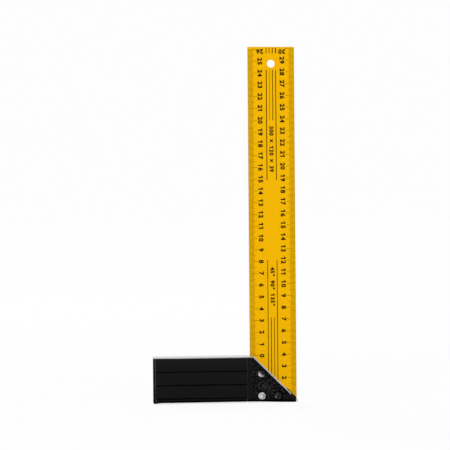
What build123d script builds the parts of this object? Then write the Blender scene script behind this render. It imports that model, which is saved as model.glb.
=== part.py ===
from build123d import *
import os

# Carpenter's try square with a mitred stock, standing on the stock's outer working face.
# The origin is the middle of that face, +Z runs up the blade, +X along the stock to the heel,
# and +Y through the thickness to the back. All lengths are in millimetres.

# Blade: a hardened steel rule
blade_length = 301.3  # outer working face to the tip
blade_width = 39.7
blade_thickness = 1.2
blade_corner_radius = 0.5
hang_hole_diameter = 6.7
hang_hole_from_tip = 14.3

# Stock: a casting with two parallel working faces and a 45 degree mitre
stock_length = 122.0
stock_width = 39.0  # outer working face to inner working face
stock_thickness = 18.0
heel_height = 2.1  # end face that the mitre leaves at the heel
heel_overhang = 0.15  # heel end, past the blade's outer edge
edge_bevel = 1.25

# Slot that the blade sits in
slot_side_clearance = 0.05  # on each side of the blade
slot_end_clearance = 0.1
blade_end_setback = 0.3  # blade's lower end, held inside the outer working face

# Grip: deep level grooves that end at a shallow upright one, on both broad sides
level_groove_width = 1.1
level_groove_depth = 1.0
level_groove_pitch = 11.25
grip_top_land = 12.05  # inner working face to the middle of the first level groove
grip_butt_land = 1.9  # butt end to the start of the level grooves
upright_groove_width = 1.1
upright_groove_depth = 0.34
grip_blade_land = 3.25  # blade's inner edge to the middle of the upright groove

# Rivets: solid, with flared heads seated below the broad sides
rivet_shank_diameter = 5.0
rivet_head_flare = 0.65  # head past shank, on the radius, at 45 degrees
rivet_crown_height = 0.4
rivet_crown_recess = 0.2  # broad side down to the top of the crown
rivet_hole_clearance = 0.05  # on the radius
counterbore_gap = 0.35  # ring around the head, on the radius
rivet_edge_land = 0.9  # bevel to the edge of a lower counterbore
rivet_blade_inset = 9.2  # blade's inner edge to the column of two rivets
upper_rivet_drop = 8.15  # mitre straight down to the upper rivet
tip_rivet_share = 0.533  # of the way from the blade's outer edge to the column

cut_overrun = 2.0

# Places that the pieces share
heel_x = stock_length / 2
butt_x = -heel_x
blade_outer_x = heel_x - heel_overhang
blade_inner_x = blade_outer_x - blade_width
blade_middle_x = blade_outer_x - blade_width / 2
mitre_top_x = heel_x - (stock_width - heel_height)
side_y = stock_thickness / 2

shank_radius = rivet_shank_diameter / 2
head_radius = shank_radius + rivet_head_flare
counterbore_radius = head_radius + counterbore_gap
seat_y = side_y - rivet_crown_recess - rivet_crown_height
column_x = blade_inner_x + rivet_blade_inset
tip_rivet_x = blade_outer_x - (blade_outer_x - column_x) * tip_rivet_share
lower_rivet_z = edge_bevel + rivet_edge_land + counterbore_radius
upper_rivet_z = heel_height + heel_x - column_x - upper_rivet_drop

rivet_places = {
    "rivet_upper": Pos(column_x, 0, upper_rivet_z),
    "rivet_lower": Pos(column_x, 0, lower_rivet_z),
    "rivet_tip": Pos(tip_rivet_x, 0, lower_rivet_z),
}


def make_rivet():
    """Solid rivet along Y: a shank between two flared heads with low crowns."""
    neck_y = seat_y - rivet_head_flare
    crown_y = seat_y + rivet_crown_height
    back_crown = TangentArc((0, crown_y), (head_radius, seat_y), tangent=(1, 0))
    side = Polyline(
        (head_radius, seat_y),
        (shank_radius, neck_y),
        (shank_radius, -neck_y),
        (head_radius, -seat_y),
    )
    front_crown = TangentArc((0, -crown_y), (head_radius, -seat_y), tangent=(1, 0))
    middle = Line((0, -crown_y), (0, crown_y))
    return revolve(make_face([back_crown, side, front_crown, middle]), axis=Axis.Y)


def rivet_hole():
    """Cutter for one rivet: through hole, flared seats and counterbores on both sides."""
    neck_y = seat_y - rivet_head_flare
    outer_y = side_y + cut_overrun
    hole_radius = shank_radius + rivet_hole_clearance
    mouth_radius = head_radius + rivet_hole_clearance
    profile = Polyline(
        (0, outer_y),
        (counterbore_radius, outer_y),
        (counterbore_radius, seat_y),
        (mouth_radius, seat_y),
        (hole_radius, neck_y),
        (hole_radius, -neck_y),
        (mouth_radius, -seat_y),
        (counterbore_radius, -seat_y),
        (counterbore_radius, -outer_y),
        (0, -outer_y),
        close=True,
    )
    return revolve(make_face(profile), axis=Axis.Y)


def cut_rivet_holes(body):
    """Body with the holes for all the rivets."""
    for place in rivet_places.values():
        body -= place * rivet_hole()
    return body


def make_blade():
    """Flat rule with rounded tip corners, a hang hole and the rivet holes."""
    plate = Pos(blade_middle_x, 0, blade_end_setback) * Box(
        blade_width,
        blade_thickness,
        blade_length - blade_end_setback,
        align=(Align.CENTER, Align.CENTER, Align.MIN),
    )
    tip_corners = plate.edges().filter_by(Axis.Y).group_by(Axis.Z)[-1]
    plate = fillet(tip_corners, blade_corner_radius)
    hang_hole = Rot(90, 0, 0) * Cylinder(hang_hole_diameter / 2, blade_thickness + 2 * cut_overrun)
    plate -= Pos(blade_middle_x, 0, blade_length - hang_hole_from_tip) * hang_hole
    return cut_rivet_holes(plate)


def groove_section(width, depth):
    """Section of a vee groove, with its mouth along X and its point down."""
    outline = Polyline(
        (-width / 2, 0),
        (0, -depth),
        (width / 2, 0),
        (width / 2, cut_overrun),
        (-width / 2, cut_overrun),
        close=True,
    )
    return make_face(outline)


def grip_cutters(face_y):
    """Cutters for the grip on one broad side."""
    outward = face_y / side_y
    start_x = butt_x + grip_butt_land
    upright_x = blade_inner_x - grip_blade_land
    upright_section = groove_section(upright_groove_width, upright_groove_depth)
    foot = Plane((upright_x, face_y, 0), x_dir=(outward, 0, 0), z_dir=(0, 0, 1))
    cutters = [extrude(foot * upright_section, amount=stock_width)]
    level_section = groove_section(level_groove_width, level_groove_depth)
    level_count = 1 + int((stock_width - grip_top_land - edge_bevel) / level_groove_pitch)
    for number in range(level_count):
        level_z = stock_width - grip_top_land - level_groove_pitch * number
        start = Plane((start_x, face_y, level_z), x_dir=(0, 0, -outward), z_dir=(1, 0, 0))
        cutters.append(extrude(start * level_section, amount=upright_x - start_x))
    return cutters


def make_stock():
    """Bevelled casting with the blade slot, the grip grooves and the rivet holes."""
    outline = Polyline(
        (butt_x, 0),
        (heel_x, 0),
        (heel_x, heel_height),
        (mitre_top_x, stock_width),
        (butt_x, stock_width),
        close=True,
    )
    body = extrude(make_face(Plane.XZ * outline), amount=side_y, both=True)
    body = chamfer(body.faces().filter_by(Axis.Y).edges(), edge_bevel)
    body -= Pos(blade_inner_x - slot_end_clearance, 0, -cut_overrun) * Box(
        blade_width + slot_end_clearance + heel_overhang + cut_overrun,
        blade_thickness + 2 * slot_side_clearance,
        stock_width + 2 * cut_overrun,
        align=(Align.MIN, Align.CENTER, Align.MIN),
    )
    for face_y in (-side_y, side_y):
        for cutter in grip_cutters(face_y):
            body -= cutter
    return cut_rivet_holes(body)


nodes = {"blade": make_blade(), "stock": make_stock()}
for rivet_name, place in rivet_places.items():
    nodes[rivet_name] = place * make_rivet()

os.makedirs("parts", exist_ok=True)
for name, shape in nodes.items():
    export_step(shape, f"parts/{name}.step")
    print(name, "volume", round(shape.volume, 1), "mm3")
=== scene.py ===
# %% [markdown]
# # A carpenter's square, dressed for the studio
# The object is a yellow steel rule riveted into a black cast handle, which makers call the stock.
# The solids come from the part's own model, at their real size, and they stay as they are.
# This lesson adds what the solids can't show: lacquer, paint, bare metal, print and light.

# %% Load the solids
import math

import bpy
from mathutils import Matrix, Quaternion, Vector


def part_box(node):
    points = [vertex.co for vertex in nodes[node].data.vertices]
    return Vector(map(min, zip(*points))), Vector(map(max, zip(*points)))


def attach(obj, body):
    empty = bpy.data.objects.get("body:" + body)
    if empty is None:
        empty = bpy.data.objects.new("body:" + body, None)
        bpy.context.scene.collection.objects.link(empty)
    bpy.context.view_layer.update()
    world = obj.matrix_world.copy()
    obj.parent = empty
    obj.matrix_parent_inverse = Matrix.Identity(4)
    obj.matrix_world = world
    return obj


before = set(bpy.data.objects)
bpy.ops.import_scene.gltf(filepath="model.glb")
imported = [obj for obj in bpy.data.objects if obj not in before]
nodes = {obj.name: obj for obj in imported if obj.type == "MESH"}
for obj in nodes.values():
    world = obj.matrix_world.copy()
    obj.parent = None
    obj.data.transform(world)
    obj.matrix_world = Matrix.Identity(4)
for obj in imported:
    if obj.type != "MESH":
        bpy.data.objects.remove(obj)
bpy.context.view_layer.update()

print("loaded", sorted(nodes))

# %% [markdown]
# ## Where things are
# Every place on the object is worked out from the boxes of its solids, in metres.
# The blade stands up along Z, the stock lies along X, and the front of both faces -Y.
# The heel is the outside corner of the square, where the blade's outer edge meets the stock, and the
# butt is the stock's other end. The mitre climbs from the heel at 45 degrees, so x and z add up to
# the same sum all along it. A box can't tell the height of the heel's end face or the width of the
# bevels, so these two are given as sizes.

# %% Read the places from the frame
MM = 0.001
blade_low, blade_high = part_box("blade")
stock_low, stock_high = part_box("stock")
blade_inner_x = blade_low[0]
blade_outer_x = blade_high[0]
blade_middle_x = (blade_outer_x + blade_inner_x) / 2
half_width = (blade_outer_x - blade_inner_x) / 2
tip_z = blade_high[2]
butt_x = stock_low[0]
heel_x = stock_high[0]
side_y = stock_high[1]
outer_face_z = stock_low[2]
inner_face_z = stock_high[2]
stock_width = inner_face_z - outer_face_z
heel_height = 2.1 * MM
edge_bevel = 1.25 * MM
mitre_sum = heel_x + outer_face_z + heel_height
print("blade", round(2 * half_width / MM, 2), "mm wide, stock", round(stock_width / MM, 2), "mm")

# %% [markdown]
# ## Small helpers
# Blender's operators act on whatever is selected, and loading leaves the solids selected.
# So each piece starts from an empty selection, and ends with its place applied to its mesh.

# %% Helpers for pieces


def start_fresh():
    """Go to object mode with nothing selected."""
    if bpy.context.mode != "OBJECT":
        bpy.ops.object.mode_set(mode="OBJECT")
    bpy.ops.object.select_all(action="DESELECT")


def pick(objects):
    """Select these objects and make the first one active."""
    start_fresh()
    for item in objects:
        item.select_set(True)
    bpy.context.view_layer.objects.active = objects[0]


def copy_of(model):
    """A copy of an object with a mesh of its own."""
    pick([model])
    bpy.ops.object.duplicate()
    return bpy.context.object


def join(objects, name):
    """Join objects into one piece whose place is in its mesh."""
    pick(objects)
    if len(objects) > 1:
        bpy.ops.object.join()
    bpy.ops.object.transform_apply(location=True, rotation=True, scale=True)
    piece = bpy.context.object
    piece.name = name
    piece.data.name = name
    return piece


def remove(objects):
    """Delete models that have been copied."""
    pick(objects)
    bpy.ops.object.delete()


def coat(piece, material):
    """Give an object one material in place of any that it has."""
    piece.data.materials.clear()
    piece.data.materials.append(material)


def finish_piece(piece, material):
    """Give a piece its material and its body."""
    coat(piece, material)
    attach(piece, "root")
    print(piece.name, len(piece.data.polygons), "faces")


start_fresh()
print("objects selected:", len(bpy.context.selected_objects))

# %% [markdown]
# ## How the finishes are made
# Each finish is a Principled shader with small textures on Object coordinates, which are metres here,
# so a noise of scale 1000 has features about a millimetre across and keeps that size on any view.
# Wear and paint lines depend on where a point lies, which is a matter of sums on those coordinates.
# Drawn by hand that would be a large web of nodes. Two small classes add and wire the nodes instead,
# so that a finish reads like a recipe. The first one makes plain nodes and does the sums.

# %% Helpers for nodes and sums


class Wiring:
    """The nodes of one node tree, and sums on what they give."""

    def __init__(self, tree):
        self.tree = tree

    def node(self, kind, settings=None, **inputs):
        """Add a node, set its options, and set or wire its inputs by name."""
        made = self.tree.nodes.new(kind)
        for option, value in (settings or {}).items():
            setattr(made, option, value)
        for socket_name, value in inputs.items():
            self.wire(made.inputs[socket_name.replace("_", " ")], value)
        return made

    def wire(self, socket, value):
        """Link a socket to another node's output, or give it a fixed value."""
        if isinstance(value, bpy.types.NodeSocket):
            self.tree.links.new(value, socket)
        else:
            socket.default_value = value

    def math(self, operation, first, second=0.0):
        """One operation on numbers or sockets."""
        made = self.node("ShaderNodeMath", {"operation": operation})
        self.wire(made.inputs[0], first)
        self.wire(made.inputs[1], second)
        return made.outputs[0]

    def chain(self, operation, values):
        """One operation carried along several values."""
        result = values[0]
        for value in values[1:]:
            result = self.math(operation, result, value)
        return result

    def total(self, *values):
        """The sum of the values."""
        return self.chain("ADD", values)

    def product(self, *values):
        """The product of the values."""
        return self.chain("MULTIPLY", values)

    def least(self, *values):
        """The smallest of the values."""
        return self.chain("MINIMUM", values)

    def most(self, *values):
        """The largest of the values."""
        return self.chain("MAXIMUM", values)

    def less(self, value, amount):
        """A value less an amount."""
        return self.math("SUBTRACT", value, amount)

    def apart(self, value, place=0.0):
        """How far a value lies from a place, on either side."""
        return self.math("ABSOLUTE", self.less(value, place))


print("wiring helps to:", [name for name in vars(Wiring) if not name.startswith("_")])

# %% [markdown]
# ## Textures and the shader
# The second class is a whole material. It adds noise for what is uneven, smooth steps for edges that
# fade, mixes of numbers and of colours, and bump for fine relief. A picture would need the mesh to be
# unwrapped first, and these textures don't, because they fill the space that the object stands in.

# %% Helpers for finishes


class Finish(Wiring):
    """A material with its shader and the Object coordinates of each point."""

    def __init__(self, name):
        self.material = bpy.data.materials.new(name)
        self.material.use_nodes = True
        super().__init__(self.material.node_tree)
        self.shader = self.tree.nodes["Principled BSDF"]
        self.place = self.node("ShaderNodeTexCoord").outputs["Object"]
        self.x, self.y, self.z = self.node("ShaderNodeSeparateXYZ", Vector=self.place).outputs

    def stretch(self, scale):
        """Object coordinates stretched by a scale for each axis."""
        return self.node("ShaderNodeMapping", Vector=self.place, Scale=scale).outputs[0]

    def noise(self, scale, detail=3.0, roughness=0.5, vector=None):
        """Soft noise from 0 to 1."""
        made = self.node(
            "ShaderNodeTexNoise",
            Vector=vector or self.place,
            Scale=scale,
            Detail=detail,
            Roughness=roughness,
        )
        return made.outputs[0]

    def remap(self, value, low, high, to_low, to_high):
        """Move a value from one range to another, smoothly at the ends."""
        made = self.node("ShaderNodeMapRange", {"interpolation_type": "SMOOTHSTEP"})
        for socket, number in zip(made.inputs, (value, low, high, to_low, to_high)):
            self.wire(socket, number)
        return made.outputs[0]

    def streak(self, value, middle, span, strength):
        """As strong as given near a middle, fading over a span of distances from it."""
        return self.remap(self.apart(value, middle), *span, strength, 0.0)

    def mix(self, share, first, second):
        """Mix two numbers by a share."""
        made = self.node("ShaderNodeMix", {"data_type": "FLOAT"})
        self.wire(made.inputs[0], share)
        self.wire(made.inputs[2], first)
        self.wire(made.inputs[3], second)
        return made.outputs[0]

    def blend(self, share, first, second):
        """Mix two colours by a share."""
        made = self.node("ShaderNodeMix", {"data_type": "RGBA"})
        self.wire(made.inputs[0], share)
        self.wire(made.inputs[6], first)
        self.wire(made.inputs[7], second)
        return made.outputs[2]

    def bump(self, height, depth):
        """Turn a height from 0 to 1 into a surface normal."""
        return self.node("ShaderNodeBump", Height=height, Distance=depth).outputs[0]

    def set(self, **values):
        """Set or wire the shader's own sockets."""
        for socket_name, value in values.items():
            self.wire(self.shader.inputs[socket_name.replace("_", " ")], value)


print("a finish helps to:", [name for name in vars(Finish) if not name.startswith("_")])

# %% [markdown]
# ## Yellow lacquer on the blade
# The rule is hardened steel under a warm yellow baking lacquer, printed in black.
# A flat colour would look like plastic film, so the lacquer gets a faint drift in tone, the fine
# orange peel that sprayed paint has, and hairline rubs along the blade that change only its gloss.
# At the very edges the lacquer is worn through, and steel shows in short broken touches. Near the
# heel, a thin black line on the blade's foot, along the mitre, is painted shade where the stock
# shades the blade, together with paint that has run from the stock.

# %% Make the lacquer
warm_yellow = (0.87, 0.448, 0.0003, 1)
light_yellow = (0.935, 0.496, 0.0006, 1)
worn_steel = (0.42, 0.41, 0.39, 1)
# black for the foot line: painted shade of the stock on the blade, with some run paint
foot_shade_black = (0.003, 0.003, 0.003, 1)
peel_depth = 0.006 * MM
widest_wear = 0.22 * MM
heel_run_x = heel_x - 10.5 * MM  # where the paint starts to run
foot_shade_span = (heel_run_x, heel_run_x + 2.5 * MM)
foot_shade_width = 0.8 * MM  # measured level, not square to the mitre


def foot_line(finish):
    """1 on the thin dark line beside the mitre, painted shade of the stock with some run paint, from
    the start of the run to the heel.
    """
    past_mitre = finish.less(finish.total(finish.x, finish.z), mitre_sum)
    width = finish.remap(finish.x, *foot_shade_span, 0.0, foot_shade_width)
    beside_mitre = finish.math("LESS_THAN", past_mitre, width)
    near_heel = finish.math("GREATER_THAN", finish.x, heel_run_x)
    return finish.product(beside_mitre, near_heel)


def worn_rim(finish):
    """1 where the lacquer is worn through, in broken touches along the edges and the tip."""
    from_edge = finish.less(half_width, finish.apart(finish.x, blade_middle_x))
    from_tip = finish.less(tip_z, finish.z)
    broken = finish.noise(scale=700.0, detail=4.0)
    width = finish.remap(broken, 0.45, 0.75, 0.0, widest_wear)
    return finish.math("LESS_THAN", finish.least(from_edge, from_tip), width)


def blade_lacquer():
    """Yellow lacquer over steel."""
    finish = Finish("blade_lacquer")
    worn = worn_rim(finish)
    drift = finish.noise(scale=28.0, detail=2.0)
    yellow = finish.blend(drift, warm_yellow, light_yellow)
    # the foot line darkens the yellow as painted shade beside the mitre
    shade_lined = finish.blend(foot_line(finish), yellow, foot_shade_black)
    rubs = finish.noise(scale=1.0, detail=2.0, vector=finish.stretch((2600.0, 2600.0, 45.0)))
    peel = finish.noise(scale=900.0, detail=1.0)
    finish.set(
        Base_Color=finish.blend(worn, shade_lined, worn_steel),
        Metallic=finish.product(worn, 0.85),
        Roughness=finish.remap(rubs, 0.35, 0.7, 0.36, 0.5),
        Specular_IOR_Level=0.03,
        Normal=finish.bump(peel, peel_depth),
    )
    return finish.material


coat(nodes["blade"], blade_lacquer())
print("lacquer on the blade")

# %% [markdown]
# ## Where the stock is bare
# The stock is a casting that is painted all over, and then machined where it has to be true: the
# inner and outer faces, the mitre, the heel end and the small bevels beside them are bright.
# Rather than split the solid, one material measures how far each point lies from those faces and
# turns from paint to metal at the bevel's width, with a slightly ragged paint line.
# The paint also creeps over the bevels, here more and there less, so its creep is added to the way.
# Near the heel it runs along that edge of the mitre's bevel that lies next to the blade, which leaves
# a thin bright line, and at the very end it covers the bevel.

# %% Measure the way to bare metal
# For each bevel: two places along the stock, and how far the paint creeps before and after them
paint_creep = {
    "inner face": (butt_x, butt_x + 22.0 * MM, 0.72 * MM, 0.52 * MM),
    "mitre": (heel_x - 17.0 * MM, heel_x - 9.5 * MM, 0.1 * MM, 0.4 * MM),
    "outer face, butt end": (butt_x + 1.0 * MM, butt_x + 7.0 * MM, 0.65 * MM, 0.05 * MM),
    "outer face, heel end": (blade_inner_x, heel_x - 3.0 * MM, 0.0, 1.0 * MM),
}
heel_overcut = 0.35 * MM  # bare metal past the bevel at the heel end
bevel_lip = 0.1 * MM  # the bevel counts from this far before its edge
heel_run_span = (heel_run_x, heel_run_x + 2.0 * MM)
heel_run_width = 0.4 * MM  # across the bevel, from the mitre's face
covered_span = (heel_x - 6.0 * MM, heel_x - 4.5 * MM)
paint_raggedness = 0.05 * MM
paint_edge_span = (edge_bevel - 0.06 * MM, edge_bevel + 0.02 * MM)


def creep(finish, bevel):
    """How far the paint creeps over a bevel."""
    return finish.remap(finish.x, *paint_creep[bevel])


def heel_run(finish):
    """More creep on the mitre's bevel near the heel: along its edge first, then all over it."""
    across_bevel = finish.less(finish.apart(finish.y), side_y - edge_bevel)
    on_bevel = finish.remap(across_bevel, -bevel_lip, -bevel_lip / 2, 0.0, edge_bevel)
    run_width = finish.remap(finish.x, *heel_run_span, -bevel_lip, heel_run_width)
    in_run = finish.math("LESS_THAN", across_bevel, run_width)
    covered = finish.remap(finish.x, *covered_span, 0.0, 1.0)
    return finish.product(on_bevel, finish.most(in_run, covered))


def way_up(finish):
    """Height of a point above the outer face."""
    return finish.less(finish.z, outer_face_z)


def way_from_outer(finish):
    """Height above the outer face, with the paint's creep at both ends added."""
    butt_creep = creep(finish, "outer face, butt end")
    heel_creep = creep(finish, "outer face, heel end")
    return finish.total(way_up(finish), butt_creep, heel_creep)


def bare_share(finish, from_outer):
    """1 on bare metal, 0 on paint."""
    from_inner = finish.total(finish.less(inner_face_z, finish.z), creep(finish, "inner face"))
    from_heel = finish.less(heel_x - heel_overcut, finish.x)
    level_way = finish.less(mitre_sum, finish.total(finish.x, finish.z))
    square_way = finish.product(level_way, math.sqrt(0.5))
    from_mitre = finish.total(square_way, creep(finish, "mitre"), heel_run(finish))
    nearest = finish.least(from_inner, from_heel, from_mitre, from_outer)
    uneven = finish.noise(scale=500.0, detail=4.0)
    ragged = finish.remap(uneven, 0.3, 0.7, -paint_raggedness, paint_raggedness)
    return finish.remap(finish.total(nearest, ragged), *paint_edge_span, 1.0, 0.0)


print("creep set for", len(paint_creep), "stretches of bevel")

# %% [markdown]
# ## Wear and painted highlights on the paint
# Hands and work rub the paint to a lighter grey in a touch near the heel. Along the edge of the butt,
# least a quarter of the way up, at the foot of the upright groove and on the ridges of the raised
# signs, the lighter grey is partly wear and partly a painted highlight where those edges catch the
# light. Wear could be painted on by hand, but a streak that is measured from an edge stays with it
# when a size changes. Each streak is strongest at its middle and fades on both sides.

# %% Set out the wear
streak_span = (0.15 * MM, 0.45 * MM)  # from a streak's middle to where it starts to fade and is gone
butt_streak_inset = edge_bevel + 0.35 * MM  # butt to the middle of its streak
butt_foot_span = (1.5 * MM, 6.0 * MM)
butt_foot_turn = 0.9 * MM  # how far the streak turns in over that span
calm_height = 10.0 * MM  # height where the butt's streak of wear and painted highlight is weakest
calm_span = (2.0 * MM, 9.0 * MM)
calm_streak = 0.1
full_streak = 0.5
heel_rub_x = heel_x - 3.7 * MM
heel_rub = 0.2
groove_x = blade_inner_x - 3.25 * MM
groove_streak_span = (0.2 * MM, 0.6 * MM)
groove_foot_span = (2.5 * MM, 5.0 * MM)
groove_streak = 0.45
ridge_span = (side_y + 0.08 * MM, side_y + 0.16 * MM)
ridge_streak = 0.25


def butt_wear(finish):
    """Rubbed paint and a painted highlight along the edge of the butt."""
    foot_turn = finish.remap(way_up(finish), *butt_foot_span, butt_foot_turn, 0.0)
    from_butt = finish.less(finish.less(finish.x, butt_x), foot_turn)
    strength = finish.remap(finish.apart(way_up(finish), calm_height), *calm_span, calm_streak, full_streak)
    return finish.streak(from_butt, butt_streak_inset, streak_span, strength)


def paint_wear(finish, mottle):
    """Share of lighter grey on the paint, from 0 to 1: wear, with painted highlights at the butt, the
    groove's foot and the signs' ridges.
    """
    heel_wear = finish.streak(finish.x, heel_rub_x, streak_span, heel_rub)
    # the lighter foot of the upright groove is wear and a painted highlight
    groove_strength = finish.remap(way_up(finish), *groove_foot_span, groove_streak, 0.0)
    groove_wear_and_highlight = finish.streak(finish.x, groove_x, groove_streak_span, groove_strength)
    edge_wear_and_highlight = finish.most(butt_wear(finish), heel_wear, groove_wear_and_highlight)
    uneven_wear_and_highlight = finish.product(edge_wear_and_highlight, finish.remap(mottle, 0.4, 0.6, 0.6, 1.0))
    # the signs' ridges are lighter: wear and a painted highlight
    ridge_wear_and_highlight = finish.remap(finish.apart(finish.y), *ridge_span, 0.0, ridge_streak)
    return finish.most(uneven_wear_and_highlight, ridge_wear_and_highlight)


print("wear set out, groove at", round(groove_x / MM, 2), "mm")

# %% [markdown]
# ## Bare metal and sheen
# The bare metal shows the cutter's marks across its narrow faces. Its tone is darker on the bevels
# of the inner face and the mitre, and lighter on the faces, on the outer bevel and in a burnished
# stretch near the heel: partly dull and clean metal, and partly painted shade and light, set so that
# each bevel shows as bright as it looks in its light. The paint on the grip is smooth, with a little
# more sheen high up and almost none on the butt. A map painted by hand could hold all this, but these
# few spans say it more plainly.

# %% Mix the metal and the sheen
dull_shaded_metal = ((0.36, 0.36, 0.355, 1), (0.58, 0.58, 0.57, 1))
clean_lit_metal = ((0.68, 0.68, 0.675, 1), (0.9, 0.9, 0.89, 1))
outer_bevel_span = (0.9 * MM, 1.6 * MM)
face_edge_span = (side_y - 1.3 * MM, side_y - 1.2 * MM)
face_clean_lit_share = 0.6
burnish_lit_x = heel_x - 7.5 * MM
burnish_lit_span = (2.0 * MM, 4.0 * MM)
grip_top_span = (inner_face_z - 11.0 * MM, inner_face_z - 3.0 * MM)
grip_sheen_low = 0.072
grip_sheen_high = 0.1
butt_span = (butt_x + 0.7 * MM, butt_x + 1.1 * MM)
butt_sheen_share = 0.07


def metal_colour(finish, cutter):
    """Darker and lighter metal, streaked by the cutter: partly dull and clean metal, partly painted
    shade and light on the bevels.
    """
    on_outer_bevel = finish.remap(way_up(finish), *outer_bevel_span, 1.0, 0.0)
    on_faces = finish.remap(finish.apart(finish.y), *face_edge_span, face_clean_lit_share, 0.0)
    burnished_lit = finish.streak(finish.x, burnish_lit_x, burnish_lit_span, 1.0)
    clean_lit_share = finish.most(on_outer_bevel, on_faces, burnished_lit)
    return finish.blend(clean_lit_share, finish.blend(cutter, *dull_shaded_metal), finish.blend(cutter, *clean_lit_metal))


def grip_sheen(finish, past_shade_band):
    """Sheen of the smooth paint on the grip."""
    sheen = finish.remap(finish.z, *grip_top_span, grip_sheen_low, grip_sheen_high)
    past_butt = finish.remap(finish.x, *butt_span, butt_sheen_share, 1.0)
    return finish.product(sheen, past_butt, past_shade_band)


print("metal burnished at", round(burnish_lit_x / MM, 2), "mm")

# %% [markdown]
# ## The stock's finish
# The paint is satin, smooth on the grip and grainy on the triangle at the heel, where grey flecks
# stand for painted glints off the grain. In a ring round each rivet, and in a band beside the outer
# bevel, the paint is a deeper black, which is painted shade. These zones, the wear and the metal come
# together in one material, because separate materials on split faces would meet in hard seams.

# %% Make the stock's finish
# the deepest black is painted shade, in the rivet rings and beside the outer bevel
shade_black = (0.0003, 0.0003, 0.0003, 1)
dark_black = (0.0022, 0.0022, 0.0023, 1)
grey_black = (0.0047, 0.0047, 0.0048, 1)
# grey for rubbed paint, painted highlights and painted glints
rubbed_and_glint_grey = (0.11, 0.11, 0.112, 1)
triangle_span = (blade_inner_x, blade_inner_x + 0.9 * MM)
shade_ring_span = (3.8 * MM, 4.4 * MM)
shade_band_span = (edge_bevel + 1.3 * MM, edge_bevel + 1.6 * MM)
grain_foot_span = (2.4 * MM, 3.2 * MM)
relief_depth = 0.3 * MM
smooth_relief_share = 0.1
rivet_names = ("rivet_upper", "rivet_lower", "rivet_tip")


def rivet_middle(name):
    """Middle of a rivet's box."""
    low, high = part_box(name)
    return tuple((a + b) / 2 for a, b in zip(low, high))


def way_from_rivets(finish):
    """How far a point lies from the nearest rivet's middle, seen from the front."""
    flat = finish.node("ShaderNodeCombineXYZ", X=finish.x, Z=finish.z).outputs[0]
    ways = []
    for name in rivet_names:
        way = finish.node("ShaderNodeVectorMath", {"operation": "DISTANCE"})
        finish.wire(way.inputs[0], flat)
        finish.wire(way.inputs[1], rivet_middle(name))
        ways.append(way.outputs["Value"])
    return finish.least(*ways)


def stock_finish():
    """Paint with its zones and wear, and machined metal where the casting is bare."""
    finish = Finish("stock_casting")
    mottle = finish.noise(scale=260.0, detail=3.0)
    grain = finish.noise(scale=1100.0, detail=2.0, roughness=0.6)
    cutter = finish.noise(scale=1.0, detail=3.0, vector=finish.stretch((2400.0, 90.0, 2400.0)))
    from_outer = way_from_outer(finish)
    bare = bare_share(finish, from_outer)
    # Zones of the paint, as shares from 0 to 1
    on_triangle = finish.remap(finish.x, *triangle_span, 0.0, 1.0)
    past_shade_ring = finish.remap(way_from_rivets(finish), *shade_ring_span, 0.0, 1.0)
    past_shade_band = finish.remap(from_outer, *shade_band_span, 0.0, 1.0)
    past_foot = finish.remap(way_up(finish), *grain_foot_span, 0.0, 1.0)
    grainy = finish.product(on_triangle, past_shade_ring, past_foot)
    # Colour of the paint, a deeper black as painted shade in the rivet rings and beside the outer bevel
    mottled = finish.blend(mottle, dark_black, grey_black)
    black = finish.blend(finish.product(past_shade_ring, past_shade_band), shade_black, mottled)
    # grey flecks on the triangle's grain are painted glints
    glint_flecks = finish.product(finish.remap(grain, 0.58, 0.67, 0.0, 0.85), grainy)
    paint = finish.blend(finish.most(glint_flecks, paint_wear(finish, mottle)), black, rubbed_and_glint_grey)
    # Gloss, sheen and relief
    paint_gloss = finish.remap(mottle, 0.3, 0.7, 0.34, 0.44)
    metal_gloss = finish.remap(cutter, 0.3, 0.7, 0.26, 0.42)
    triangle_sheen = finish.product(finish.remap(grain, 0.48, 0.6, 0.0, 0.06), grainy)
    relief_share = finish.mix(grainy, smooth_relief_share, 1.0)
    relief = finish.product(grain, relief_share, finish.less(1.0, bare))
    finish.set(
        Base_Color=finish.blend(bare, paint, metal_colour(finish, cutter)),
        Metallic=bare,
        Roughness=finish.mix(bare, paint_gloss, metal_gloss),
        Specular_IOR_Level=finish.mix(on_triangle, grip_sheen(finish, past_shade_band), triangle_sheen),
        Normal=finish.bump(relief, relief_depth),
    )
    return finish.material


casting = stock_finish()
coat(nodes["stock"], casting)
print("paint and bare metal on the stock")

# %% [markdown]
# ## Rivet heads
# The rivets hold the blade in its slot. One shows clean steel, dappled by the setting tool, one is
# half covered by a smear of black paint that is also painted shade on its side away from the light,
# and one kept its paint but for a bare rim on its left, which is a painted highlight. So one finish
# serves all three: dappled steel under a dark side of paint and painted shade, from a line across
# the head.

# %% Make the rivet finishes
dull_steel = (0.2, 0.2, 0.2, 1)
bright_steel = (0.68, 0.68, 0.67, 1)
rivet_black = (0.001, 0.001, 0.001, 1)
rivet_grey = (0.06, 0.06, 0.061, 1)
dapple_depth = 0.14 * MM
smear_raggedness = 0.9 * MM
smear_thinning = 5.0 * MM


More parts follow.
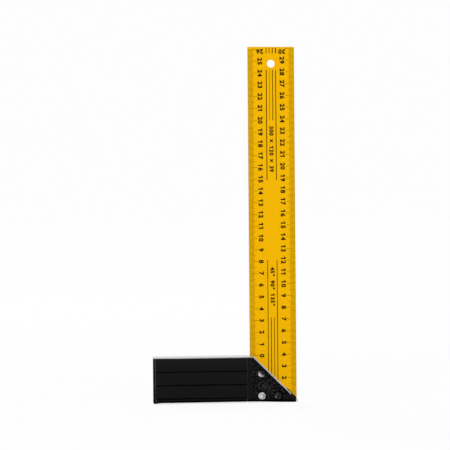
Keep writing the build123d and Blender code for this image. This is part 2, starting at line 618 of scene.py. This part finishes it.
def rivet_finish(node_name, tarnish, dark_from, dark_towards, dark_fade):
    """Dappled steel, dark past a line that lies so far from the head's middle: paint, and painted
    shade.
    """
    finish = Finish(node_name + "_finish")
    middle_x, _, middle_z = rivet_middle(node_name)
    angle = math.radians(dark_towards)
    across = finish.product(finish.less(finish.x, middle_x), math.cos(angle))
    up = finish.product(finish.less(finish.z, middle_z), math.sin(angle))
    dapple = finish.noise(scale=450.0, detail=5.0, roughness=0.65)
    ragged = finish.remap(dapple, 0.3, 0.7, -smear_raggedness, smear_raggedness)
    # dark side: paint, with painted shade on the upper rivet; the tip rivet's bare rim is a painted
    # highlight
    from_line = finish.less(finish.total(across, up, ragged), dark_from)
    painted = finish.remap(from_line, -dark_fade, dark_fade, 0.0, 1.0)
    polished = finish.remap(dapple, 0.36 + tarnish, 0.62 + tarnish, 0.0, 1.0)
    steel = finish.blend(polished, dull_steel, bright_steel)
    thinned = finish.remap(from_line, 0.0, smear_thinning, 1.0, 0.2)
    rubbed = finish.product(thinned, finish.remap(dapple, 0.42, 0.62, 0.0, 1.0))
    paint = finish.blend(rubbed, rivet_black, rivet_grey)
    finish.set(
        Base_Color=finish.blend(painted, steel, paint),
        Metallic=finish.product(finish.less(1.0, painted), 0.95),
        Roughness=finish.remap(dapple, 0.3, 0.7, 0.5, 0.34),
        Specular_IOR_Level=0.12,
        Normal=finish.bump(dapple, dapple_depth),
    )
    return finish.material


# For each rivet: how tarnished it is, where its dark side starts, which way it lies in degrees,
# and how softly it fades in. The dark side is paint, and on the upper rivet also painted shade.
rivet_looks = {
    "rivet_upper": (0.0, -0.6 * MM, 50, 0.8 * MM),
    "rivet_lower": (0.0, 5.0 * MM, 0, 0.4 * MM),
    "rivet_tip": (0.12, -2.5 * MM, 10, 0.5 * MM),
}
for rivet_name, looks in rivet_looks.items():
    coat(nodes[rivet_name], rivet_finish(rivet_name, *looks))
print("rivets finished")

# %% [markdown]
# ## Printing ink
# The marks are a thin film of ink, a few hundredths of a millimetre thick. Real geometry, not a
# picture, keeps every mark sharp at any zoom. The ink is brownish black and a little uneven.

# %% Make the ink
ink_depth = 0.03 * MM
ink_dark = (0.009, 0.0018, 0.0002, 1)
ink_light = (0.022, 0.005, 0.0004, 1)


def print_ink():
    """Brownish black ink that lies a little unevenly."""
    finish = Finish("print_ink")
    uneven = finish.noise(scale=900.0, detail=3.0)
    finish.set(
        Base_Color=finish.blend(uneven, ink_dark, ink_light),
        Roughness=finish.remap(uneven, 0.3, 0.7, 0.5, 0.65),
        Specular_IOR_Level=0.04,
    )
    return finish.material


ink = print_ink()
print("ink mixed")

# %% [markdown]
# ## Division marks
# A rule is divided by one pattern that repeats each centimetre: a long mark, four short ones, a
# middle one and four short ones. So one mark is modelled from a plane, extruded to the ink's depth,
# ten copies are set out as a centimetre, and an Array modifier steps that along the edge.
# Print is laid out flat, with u across the blade from its middle and v along it from the outer face.

# %% Model one mark and a centimetre of marks
CENTIMETRE = 10 * MM
mark_width = 0.27 * MM
short_mark = 4.6 * MM
middle_mark = 5.6 * MM
long_mark = 7.6 * MM
marks_per_centimetre = 10
ink_top_shares = (0.98, 0.7, 1)


def model_mark():
    """A mark one unit long, starting at the origin, with edges that slope like wet ink."""
    start_fresh()
    bpy.ops.mesh.primitive_plane_add(size=1)
    mark = bpy.context.object
    bpy.ops.object.mode_set(mode="EDIT")
    bpy.ops.mesh.select_all(action="SELECT")
    bpy.ops.transform.translate(value=(0.5, 0, 0))
    bpy.ops.mesh.extrude_region_move(TRANSFORM_OT_translate={"value": (0, 0, 1)})
    bpy.ops.transform.resize(value=ink_top_shares)
    bpy.ops.mesh.select_all(action="SELECT")
    bpy.ops.mesh.normals_make_consistent(inside=False)
    bpy.ops.object.mode_set(mode="OBJECT")
    return mark


def place_mark(model, length, u, v, inward):
    """A copy of the mark, from the blade's edge inward."""
    mark = copy_of(model)
    mark.scale = (length, mark_width, ink_depth)
    mark.rotation_euler = (0, 0, 0 if inward > 0 else math.pi)
    mark.location = (u, v, 0)
    return mark


def mark_length(step):
    """Length of the mark that many millimetres below a full centimetre."""
    if step == 0:
        return long_mark
    return middle_mark if step == marks_per_centimetre // 2 else short_mark


def divided_edge(model, name, edge_u, zero_v, centimetres):
    """All the marks of one scale, from its first millimetre to its last centimetre."""
    inward = -1 if edge_u > 0 else 1
    marks = []
    for step in range(marks_per_centimetre):
        v = zero_v + CENTIMETRE - step * CENTIMETRE / marks_per_centimetre
        marks.append(place_mark(model, mark_length(step), edge_u, v, inward))
    piece = join(marks, name)
    steps = piece.modifiers.new("centimetres", "ARRAY")
    steps.use_relative_offset = False
    steps.use_constant_offset = True
    steps.constant_offset_displace = (0, CENTIMETRE, 0)
    steps.count = centimetres
    bpy.ops.object.modifier_apply(modifier=steps.name)
    return piece


mark_model = model_mark()
print("one mark has", len(mark_model.data.polygons), "faces")

# %% [markdown]
# ## Numerals
# The rule's numerals are bold and a little wide, and they lie on their side with their heads to the
# right. Blender's own font is thinner, so its outlines are thickened by a small bevel and made a mesh.
# That leaves the flat faces and the sides as separate sheets, so their seams are merged before the
# figure is pressed flat to the ink's depth. Its figure one is a bare stroke, so a flag is added to it.
# Each figure is modelled once, at the font's own size.

# %% Model the figures
type_depth = 0.02
stroke_growth = 0.049
seam_width = 0.0001
curve_steps = 4
flag_slant = math.radians(38)
# Sizes of the flag on the figure one, as shares of the stem's width
flag_reach_share = 1.2
flag_thickness_share = 0.85
flag_drop_share = 0.95
flag_offset_share = 0.28 * flag_reach_share


def add_flag(figure):
    """Join a slanted stroke to the head of the bare figure one."""
    low = [min(corner[axis] for corner in figure.bound_box) for axis in range(3)]
    high = [max(corner[axis] for corner in figure.bound_box) for axis in range(3)]
    stem = high[0] - low[0]
    bpy.ops.mesh.primitive_cube_add(size=1)
    flag = bpy.context.object
    flag.scale = (flag_reach_share * stem, flag_thickness_share * stem, high[2] - low[2])
    flag.rotation_euler = (0, 0, flag_slant)
    flag.location = (
        low[0] - flag_offset_share * stem,
        high[1] - flag_drop_share * stem,
        (low[2] + high[2]) / 2,
    )
    pick([figure, flag])
    bpy.ops.object.join()
    bpy.ops.object.transform_apply(location=True, rotation=True, scale=True)


def model_figure(letter):
    """One figure as type, with its middle at the origin."""
    start_fresh()
    bpy.ops.object.text_add()
    text = bpy.context.object
    text.data.body = letter
    text.data.resolution_u = curve_steps
    text.data.extrude = type_depth
    text.data.bevel_depth = stroke_growth
    text.data.bevel_resolution = 0
    bpy.ops.object.convert(target="MESH")
    figure = bpy.context.object
    bpy.ops.object.mode_set(mode="EDIT")
    bpy.ops.mesh.select_all(action="SELECT")
    bpy.ops.mesh.remove_doubles(threshold=seam_width)
    bpy.ops.mesh.normals_make_consistent(inside=False)
    bpy.ops.object.mode_set(mode="OBJECT")
    if letter == "1":
        add_flag(figure)
    bpy.ops.object.origin_set(type="ORIGIN_GEOMETRY", center="BOUNDS")
    figure.location = (0, 0, 0)
    return figure


figures = {letter: model_figure(letter) for letter in "0123456789x°"}
type_height = figures["0"].dimensions.y
type_thickness = figures["0"].dimensions.z
print("figures modelled:", "".join(figures))

# %% [markdown]
# ## Setting numbers
# A text object could set a whole number at once, but the rule's figures stand at an even pitch. So
# numbers are set from copies of the figures, like type in a printer's stick.
# A figure one is centred with its flag. Beside other figures it moves back a little, so that its stem
# is where the eye expects it. A degree sign is raised to the top of the line.

# %% Set a number
figure_height = 4.15 * MM
figure_pitch = 3.15 * MM
figure_widening = 1.06
stem_shift = 0.55 * MM
degree_rise_share = 0.34


def set_number(text, u, v, turn, height=figure_height, depth=ink_depth):
    """Copies of the figures set as a number, its middle at u, v, turned by some degrees."""
    size = height / type_height
    ratio = height / figure_height
    angle = math.radians(turn)
    placed = []
    for position, letter in enumerate(text):
        if letter == " ":
            continue
        along = (position - (len(text) - 1) / 2) * figure_pitch * ratio
        if letter == "1" and len(text) > 1:
            along -= stem_shift * ratio
        raised = degree_rise_share * height if letter == "°" else 0.0
        figure = copy_of(figures[letter])
        figure.scale = (size * figure_widening, size, depth / type_thickness)
        figure.rotation_euler = (0, 0, angle)
        figure.location = (
            u + along * math.cos(angle) - raised * math.sin(angle),
            v + along * math.sin(angle) + raised * math.cos(angle),
            depth / 2,
        )
        placed.append(figure)
    return placed


print("numbers are", round(figure_height / MM, 2), "mm high")

# %% [markdown]
# ## The printed layout
# Both faces of the blade carry the same print. The outer scale counts from the stock's outer face,
# the inner scale from its inner face, so their zeros are a stock's width apart. The last number of
# each scale has no room beside its mark, so it stands upright at the tip, upside down.
# Four fine lines run down the middle, with gaps for the hang hole and for plain numbers that give
# the square's size and angles. The print came out uneven, so each line has its own width.

# %% Set out the numbers and the lines
numeral_inset = 10.4 * MM
tip_numeral_drop = 4.1 * MM
on_its_side = -90
upside_down = 180
line_offsets = {"near": 1.35 * MM, "far": 4.0 * MM}
# Runs of the middle lines: which pair, its start and end along the blade, and how wide its left line
# and its right line came out in print
line_runs = [
    ("near", 295.8 * MM, 300.5 * MM, 0.58 * MM, 0.7 * MM),
    ("far", 295.8 * MM, 300.5 * MM, 0.64 * MM, 0.8 * MM),
    ("far", 188.1 * MM, 281.8 * MM, 0.72 * MM, 0.68 * MM),
    ("near", 238.8 * MM, 281.8 * MM, 0.3 * MM, 0.6 * MM),
    ("far", 12.0 * MM, 120.0 * MM, 0.6 * MM, 0.6 * MM),
    ("near", 12.0 * MM, 71.5 * MM, 0.64 * MM, 0.5 * MM),
]
size_number_height = 3.7 * MM
# Plain numbers between the lines, and where their middles lie along the blade
size_numbers = {"300 x 120 x 39": 214.5 * MM, "45° 90° 135°": 97.5 * MM}


def scale_numbers(edge_u, zero_v, first, last):
    """The numbers of one scale."""
    u = edge_u - math.copysign(numeral_inset, edge_u)
    placed = []
    for count in range(first, last):
        placed += set_number(str(count), u, zero_v + count * CENTIMETRE, on_its_side)
    placed += set_number(str(last), u, tip_z - tip_numeral_drop, upside_down)
    return placed


def middle_lines(model):
    """The fine lines along the middle of the blade."""
    placed = []
    for pair, start, end, left_width, right_width in line_runs:
        for side, width in ((-1, left_width), (1, right_width)):
            line = copy_of(model)
            line.scale = (end - start, width, ink_depth)
            line.rotation_euler = (0, 0, math.pi / 2)
            line.location = (side * line_offsets[pair], start, 0)
            placed.append(line)
    return placed


def middle_numbers():
    """The plain numbers between the lines."""
    placed = []
    for text, v in size_numbers.items():
        placed += set_number(text, 0.0, v, on_its_side, size_number_height)
    return placed


print(len(line_runs), "runs of lines,", len(size_numbers), "rows of plain numbers")

# %% [markdown]
# ## Printing both faces
# Everything is laid out flat first, where two coordinates are enough, and then stood up against its
# face. The back could be a mirrored copy of the front, but its numbers would read backwards. So it
# is set out afresh, with the outer scale on the other side.

# %% Print both faces
first_outer = 2
last_outer = 30
first_inner = 0
last_inner = 26


def stand_up(piece, face, x, depth_y, z):
    """Stand a flat layout up, its origin at x and z, against a surface so far from the middle."""
    pick([piece])
    piece.rotation_euler = (math.pi / 2, 0, 0 if face == "front" else math.pi)
    piece.location = (x, -depth_y if face == "front" else depth_y, z)
    bpy.ops.object.transform_apply(location=True, rotation=True, scale=True)


def lay_on_blade(piece, face):
    """Print a flat layout on the front or the back of the blade."""
    stand_up(piece, face, blade_middle_x, blade_high[1], outer_face_z)
    finish_piece(piece, ink)


def print_face(face):
    """All the print on one face. The outer edge is on the viewer's right in front, left behind."""
    outer_u = half_width if face == "front" else -half_width
    inner_u = -outer_u
    outer_marks = divided_edge(mark_model, "outer_marks_" + face, outer_u, 0.0, last_outer)
    lay_on_blade(outer_marks, face)
    inner_marks = divided_edge(mark_model, "inner_marks_" + face, inner_u, stock_width, last_inner)
    lay_on_blade(inner_marks, face)
    zero_mark = place_mark(mark_model, long_mark, inner_u, stock_width, outer_u)
    lay_on_blade(join([zero_mark], "inner_zero_" + face), face)
    outer_numbers = scale_numbers(outer_u, 0.0, first_outer, last_outer)
    lay_on_blade(join(outer_numbers, "outer_numbers_" + face), face)
    inner_numbers = scale_numbers(inner_u, stock_width, first_inner, last_inner)
    lay_on_blade(join(inner_numbers, "inner_numbers_" + face), face)
    lay_on_blade(join(middle_lines(mark_model), "middle_lines_" + face), face)
    lay_on_blade(join(middle_numbers(), "size_numbers_" + face), face)


for face_name in ("front", "back"):
    print_face(face_name)

# %% [markdown]
# ## Raised sign on the casting
# The triangle at the heel carries a small raised frame that lies along the mitre, cast with the
# stock, and its ridges are lighter: rubbed, and with a painted highlight. Here it holds the mitre's
# angle, as a generic sign.
# The frame starts as a plane: a vertex bevel rounds its corners, an inset leaves a rim, and the rim
# is extruded. The figures come from the same type as the print. One sign lies on each broad side.

# %% Model the raised sign
sign_x = heel_x - 27.8 * MM
sign_z = outer_face_z + 12.6 * MM
sign_length = 12.5 * MM
sign_width = 6.2 * MM
sign_corner = 1.2 * MM
sign_corner_steps = 5
sign_figure_height = 3.4 * MM
ridge_width = 0.45 * MM
ridge_height = 0.2 * MM
ridge_sink = 0.02 * MM
mitre_angle = 45


def model_sign_frame():
    """A flat frame with rounded corners, from a plane."""
    start_fresh()
    bpy.ops.mesh.primitive_plane_add(size=1)
    rim = bpy.context.object
    rim.scale = (sign_length, sign_width, 1)
    bpy.ops.object.transform_apply(location=False, rotation=False, scale=True)
    bpy.ops.object.mode_set(mode="EDIT")
    bpy.ops.mesh.select_all(action="SELECT")
    bpy.ops.mesh.bevel(offset=sign_corner, affect="VERTICES", segments=sign_corner_steps)
    bpy.ops.mesh.select_all(action="SELECT")
    bpy.ops.mesh.inset(thickness=ridge_width)
    bpy.ops.mesh.delete(type="FACE")
    bpy.ops.mesh.select_all(action="SELECT")
    bpy.ops.mesh.extrude_region_move(TRANSFORM_OT_translate={"value": (0, 0, ridge_height)})
    bpy.ops.mesh.select_all(action="SELECT")
    bpy.ops.mesh.normals_make_consistent(inside=False)
    bpy.ops.object.mode_set(mode="OBJECT")
    return rim


def raise_sign(rim_model, face):
    """The frame and its figures on one broad side, turned to lie along the mitre."""
    turn = -mitre_angle if face == "front" else mitre_angle
    rim = copy_of(rim_model)
    rim.rotation_euler = (0, 0, math.radians(turn))
    angle_text = str(mitre_angle) + "°"
    angle_figures = set_number(angle_text, 0.0, 0.0, turn, sign_figure_height, ridge_height)
    sign = join([rim] + angle_figures, "angle_sign_" + face)
    stand_up(sign, face, sign_x, side_y - ridge_sink, sign_z)
    finish_piece(sign, casting)


sign_frame = model_sign_frame()
for face_name in ("front", "back"):
    raise_sign(sign_frame, face_name)
remove([mark_model, sign_frame] + list(figures.values()))
print("type cleared away")

# %% [markdown]
# ## Studio
# The floor is a wide white sheet that takes the object's shadow. For rays from the camera and in
# reflections, floor and sky are lifted to white, so the background is clean and the metal has
# something pale to mirror, without more light on the object. The lift is weaker close to the object,
# where the shadow lies.

# %% Lay the floor
white = (1, 1, 1, 1)
paper_white = (0.9, 0.9, 0.9, 1)
floor_size = 40.0
floor_gap = 0.02 * MM
shadow_reach = 0.2
full_lift_reach = 1.2
shadow_lift = 0.89
full_lift = 0.985


def seen_directly(wiring):
    """1 for rays from the camera, in reflections and through glass, and 0 for light that bounces."""
    path = wiring.node("ShaderNodeLightPath")
    rays = ("Is Camera Ray", "Is Glossy Ray", "Is Transmission Ray")
    return wiring.most(*[path.outputs[ray] for ray in rays])


def studio_paper():
    """White paper, lifted to pure white where it is seen directly."""
    paper = Finish("studio_paper")
    paper.set(Base_Color=paper_white, Roughness=0.9, Specular_IOR_Level=0.0)
    from_object = paper.node("ShaderNodeVectorMath", {"operation": "LENGTH"})
    paper.wire(from_object.inputs[0], paper.place)
    reach = from_object.outputs["Value"]
    lift = paper.remap(reach, shadow_reach, full_lift_reach, shadow_lift, full_lift)
    glow = paper.node("ShaderNodeEmission", Color=white, Strength=1.0)
    lifted = paper.node("ShaderNodeMixShader", Fac=paper.product(seen_directly(paper), lift))
    paper.wire(lifted.inputs[1], paper.shader.outputs[0])
    paper.wire(lifted.inputs[2], glow.outputs[0])
    paper.wire(paper.tree.nodes["Material Output"].inputs["Surface"], lifted.outputs[0])
    return paper.material


start_fresh()
bpy.ops.mesh.primitive_plane_add(size=floor_size)
floor = bpy.context.object
floor.name = "floor"
floor.location = (0, 0, outer_face_z - floor_gap)
bpy.ops.object.transform_apply(location=True, rotation=True, scale=True)
coat(floor, studio_paper())
print("floor laid")

# %% [markdown]
# ## Sky
# A photographer's white room sends soft light from all round. A picture of such a room could light
# the scene, but a plain white sky does the same without colours of its own. As light it is kept at
# half strength, and where it is seen directly it is lifted as far as the floor, so that the two meet
# without a line.

# %% Light the sky
sky_light = 0.5
world = bpy.data.worlds.new("studio")
world.use_nodes = True
bpy.context.scene.world = world
sky = Wiring(world.node_tree)
sky_level = sky.node("ShaderNodeMapRange", Value=seen_directly(sky), To_Min=sky_light, To_Max=full_lift)
background = world.node_tree.nodes["Background"]
sky.wire(background.inputs["Color"], white)
sky.wire(background.inputs["Strength"], sky_level.outputs["Result"])
print("sky lit")

# %% [markdown]
# ## Lamps
# Soft lamps stand in front, on the right and behind, so that no side is dim and the stock casts
# hardly any shade on the blade, and a wide dim one hangs above. Reflections don't show them. What
# the metal mirrors, besides the pale studio, is a strip lamp low on the left that lights nothing else:
# the far wall of the upright groove catches it as a thin line.

# %% Hang the lamps
lamp_aim = Vector((0, 0, tip_z / 2))
# For each soft lamp: where it hangs, the length of its sides and its power
soft_lamps = {
    "lamp_front": ((-0.5, -1.6, 1.2), 0.9, 7.6),
    "lamp_right": ((1.15, -1.6, 0.6), 0.9, 6.5),
    "lamp_back": ((-0.7, 1.6, 1.2), 0.9, 12.0),
    "lamp_top": ((0, -0.2, 1.7), 2.0, 8.0),
}
strip_place = (-1.6, -0.95, 0.2)
strip_width = 0.9
strip_height = 0.4
strip_power = 15.0


def hang_lamp(name, place, width, height, power):
    """A flat lamp at a place, turned to the object, that the camera doesn't see."""
    data = bpy.data.lights.new(name, "AREA")
    data.shape = "RECTANGLE"
    data.size = width
    data.size_y = height
    data.energy = power
    lamp = bpy.data.objects.new(name, data)
    bpy.context.scene.collection.objects.link(lamp)
    lamp.location = place
    lamp.rotation_euler = (lamp_aim - Vector(place)).to_track_quat("-Z", "Y").to_euler()
    lamp.visible_camera = False
    return lamp


for lamp_name, (lamp_place, lamp_side, lamp_power) in soft_lamps.items():
    soft_lamp = hang_lamp(lamp_name, lamp_place, lamp_side, lamp_side, lamp_power)
    soft_lamp.visible_glossy = False
strip_lamp = hang_lamp("lamp_strip", strip_place, strip_width, strip_height, strip_power)
strip_lamp.visible_diffuse = False
print(len(soft_lamps), "soft lamps and a strip hung")

# %% [markdown]
# ## Camera
# The photograph is nearly square on: the lens is about level with the middle of the blade, 1.3 metres
# off and a touch to the left, and the picture is turned by half a degree. A camera can be set by eye,
# but this one was fitted to the scale on the blade, whose marks have known places.

# %% Set the camera
view_azimuth = math.radians(-4.48)
view_elevation = math.radians(0.5)
view_roll = math.radians(-0.469)
view_distance = 1.3
view_target = Vector((0.91 * MM, 0, 150.35 * MM))
camera_data = bpy.data.cameras.new("camera")
camera_data.sensor_width = 36.0
camera_data.lens = 122.64
camera_data.clip_end = 50.0
camera = bpy.data.objects.new("camera", camera_data)
bpy.context.scene.collection.objects.link(camera)
away = Vector(
    (
        math.sin(view_azimuth) * math.cos(view_elevation),
        -math.cos(view_azimuth) * math.cos(view_elevation),
        math.sin(view_elevation),
    )
)
camera.location = view_target + away * view_distance
camera.rotation_mode = "QUATERNION"
upright = (-away).to_track_quat("-Z", "Y")
camera.rotation_quaternion = upright @ Quaternion((0, 0, 1), view_roll)
bpy.context.scene.camera = camera
bpy.context.scene.view_settings.view_transform = "Standard"
print("camera", tuple(round(part, 3) for part in camera.location))

# %% [markdown]
# ## Sizes
# The print lies within the stock's thickness, and only the raised signs stand proud of the solids'
# box, by about a fifth of a millimetre on each side.
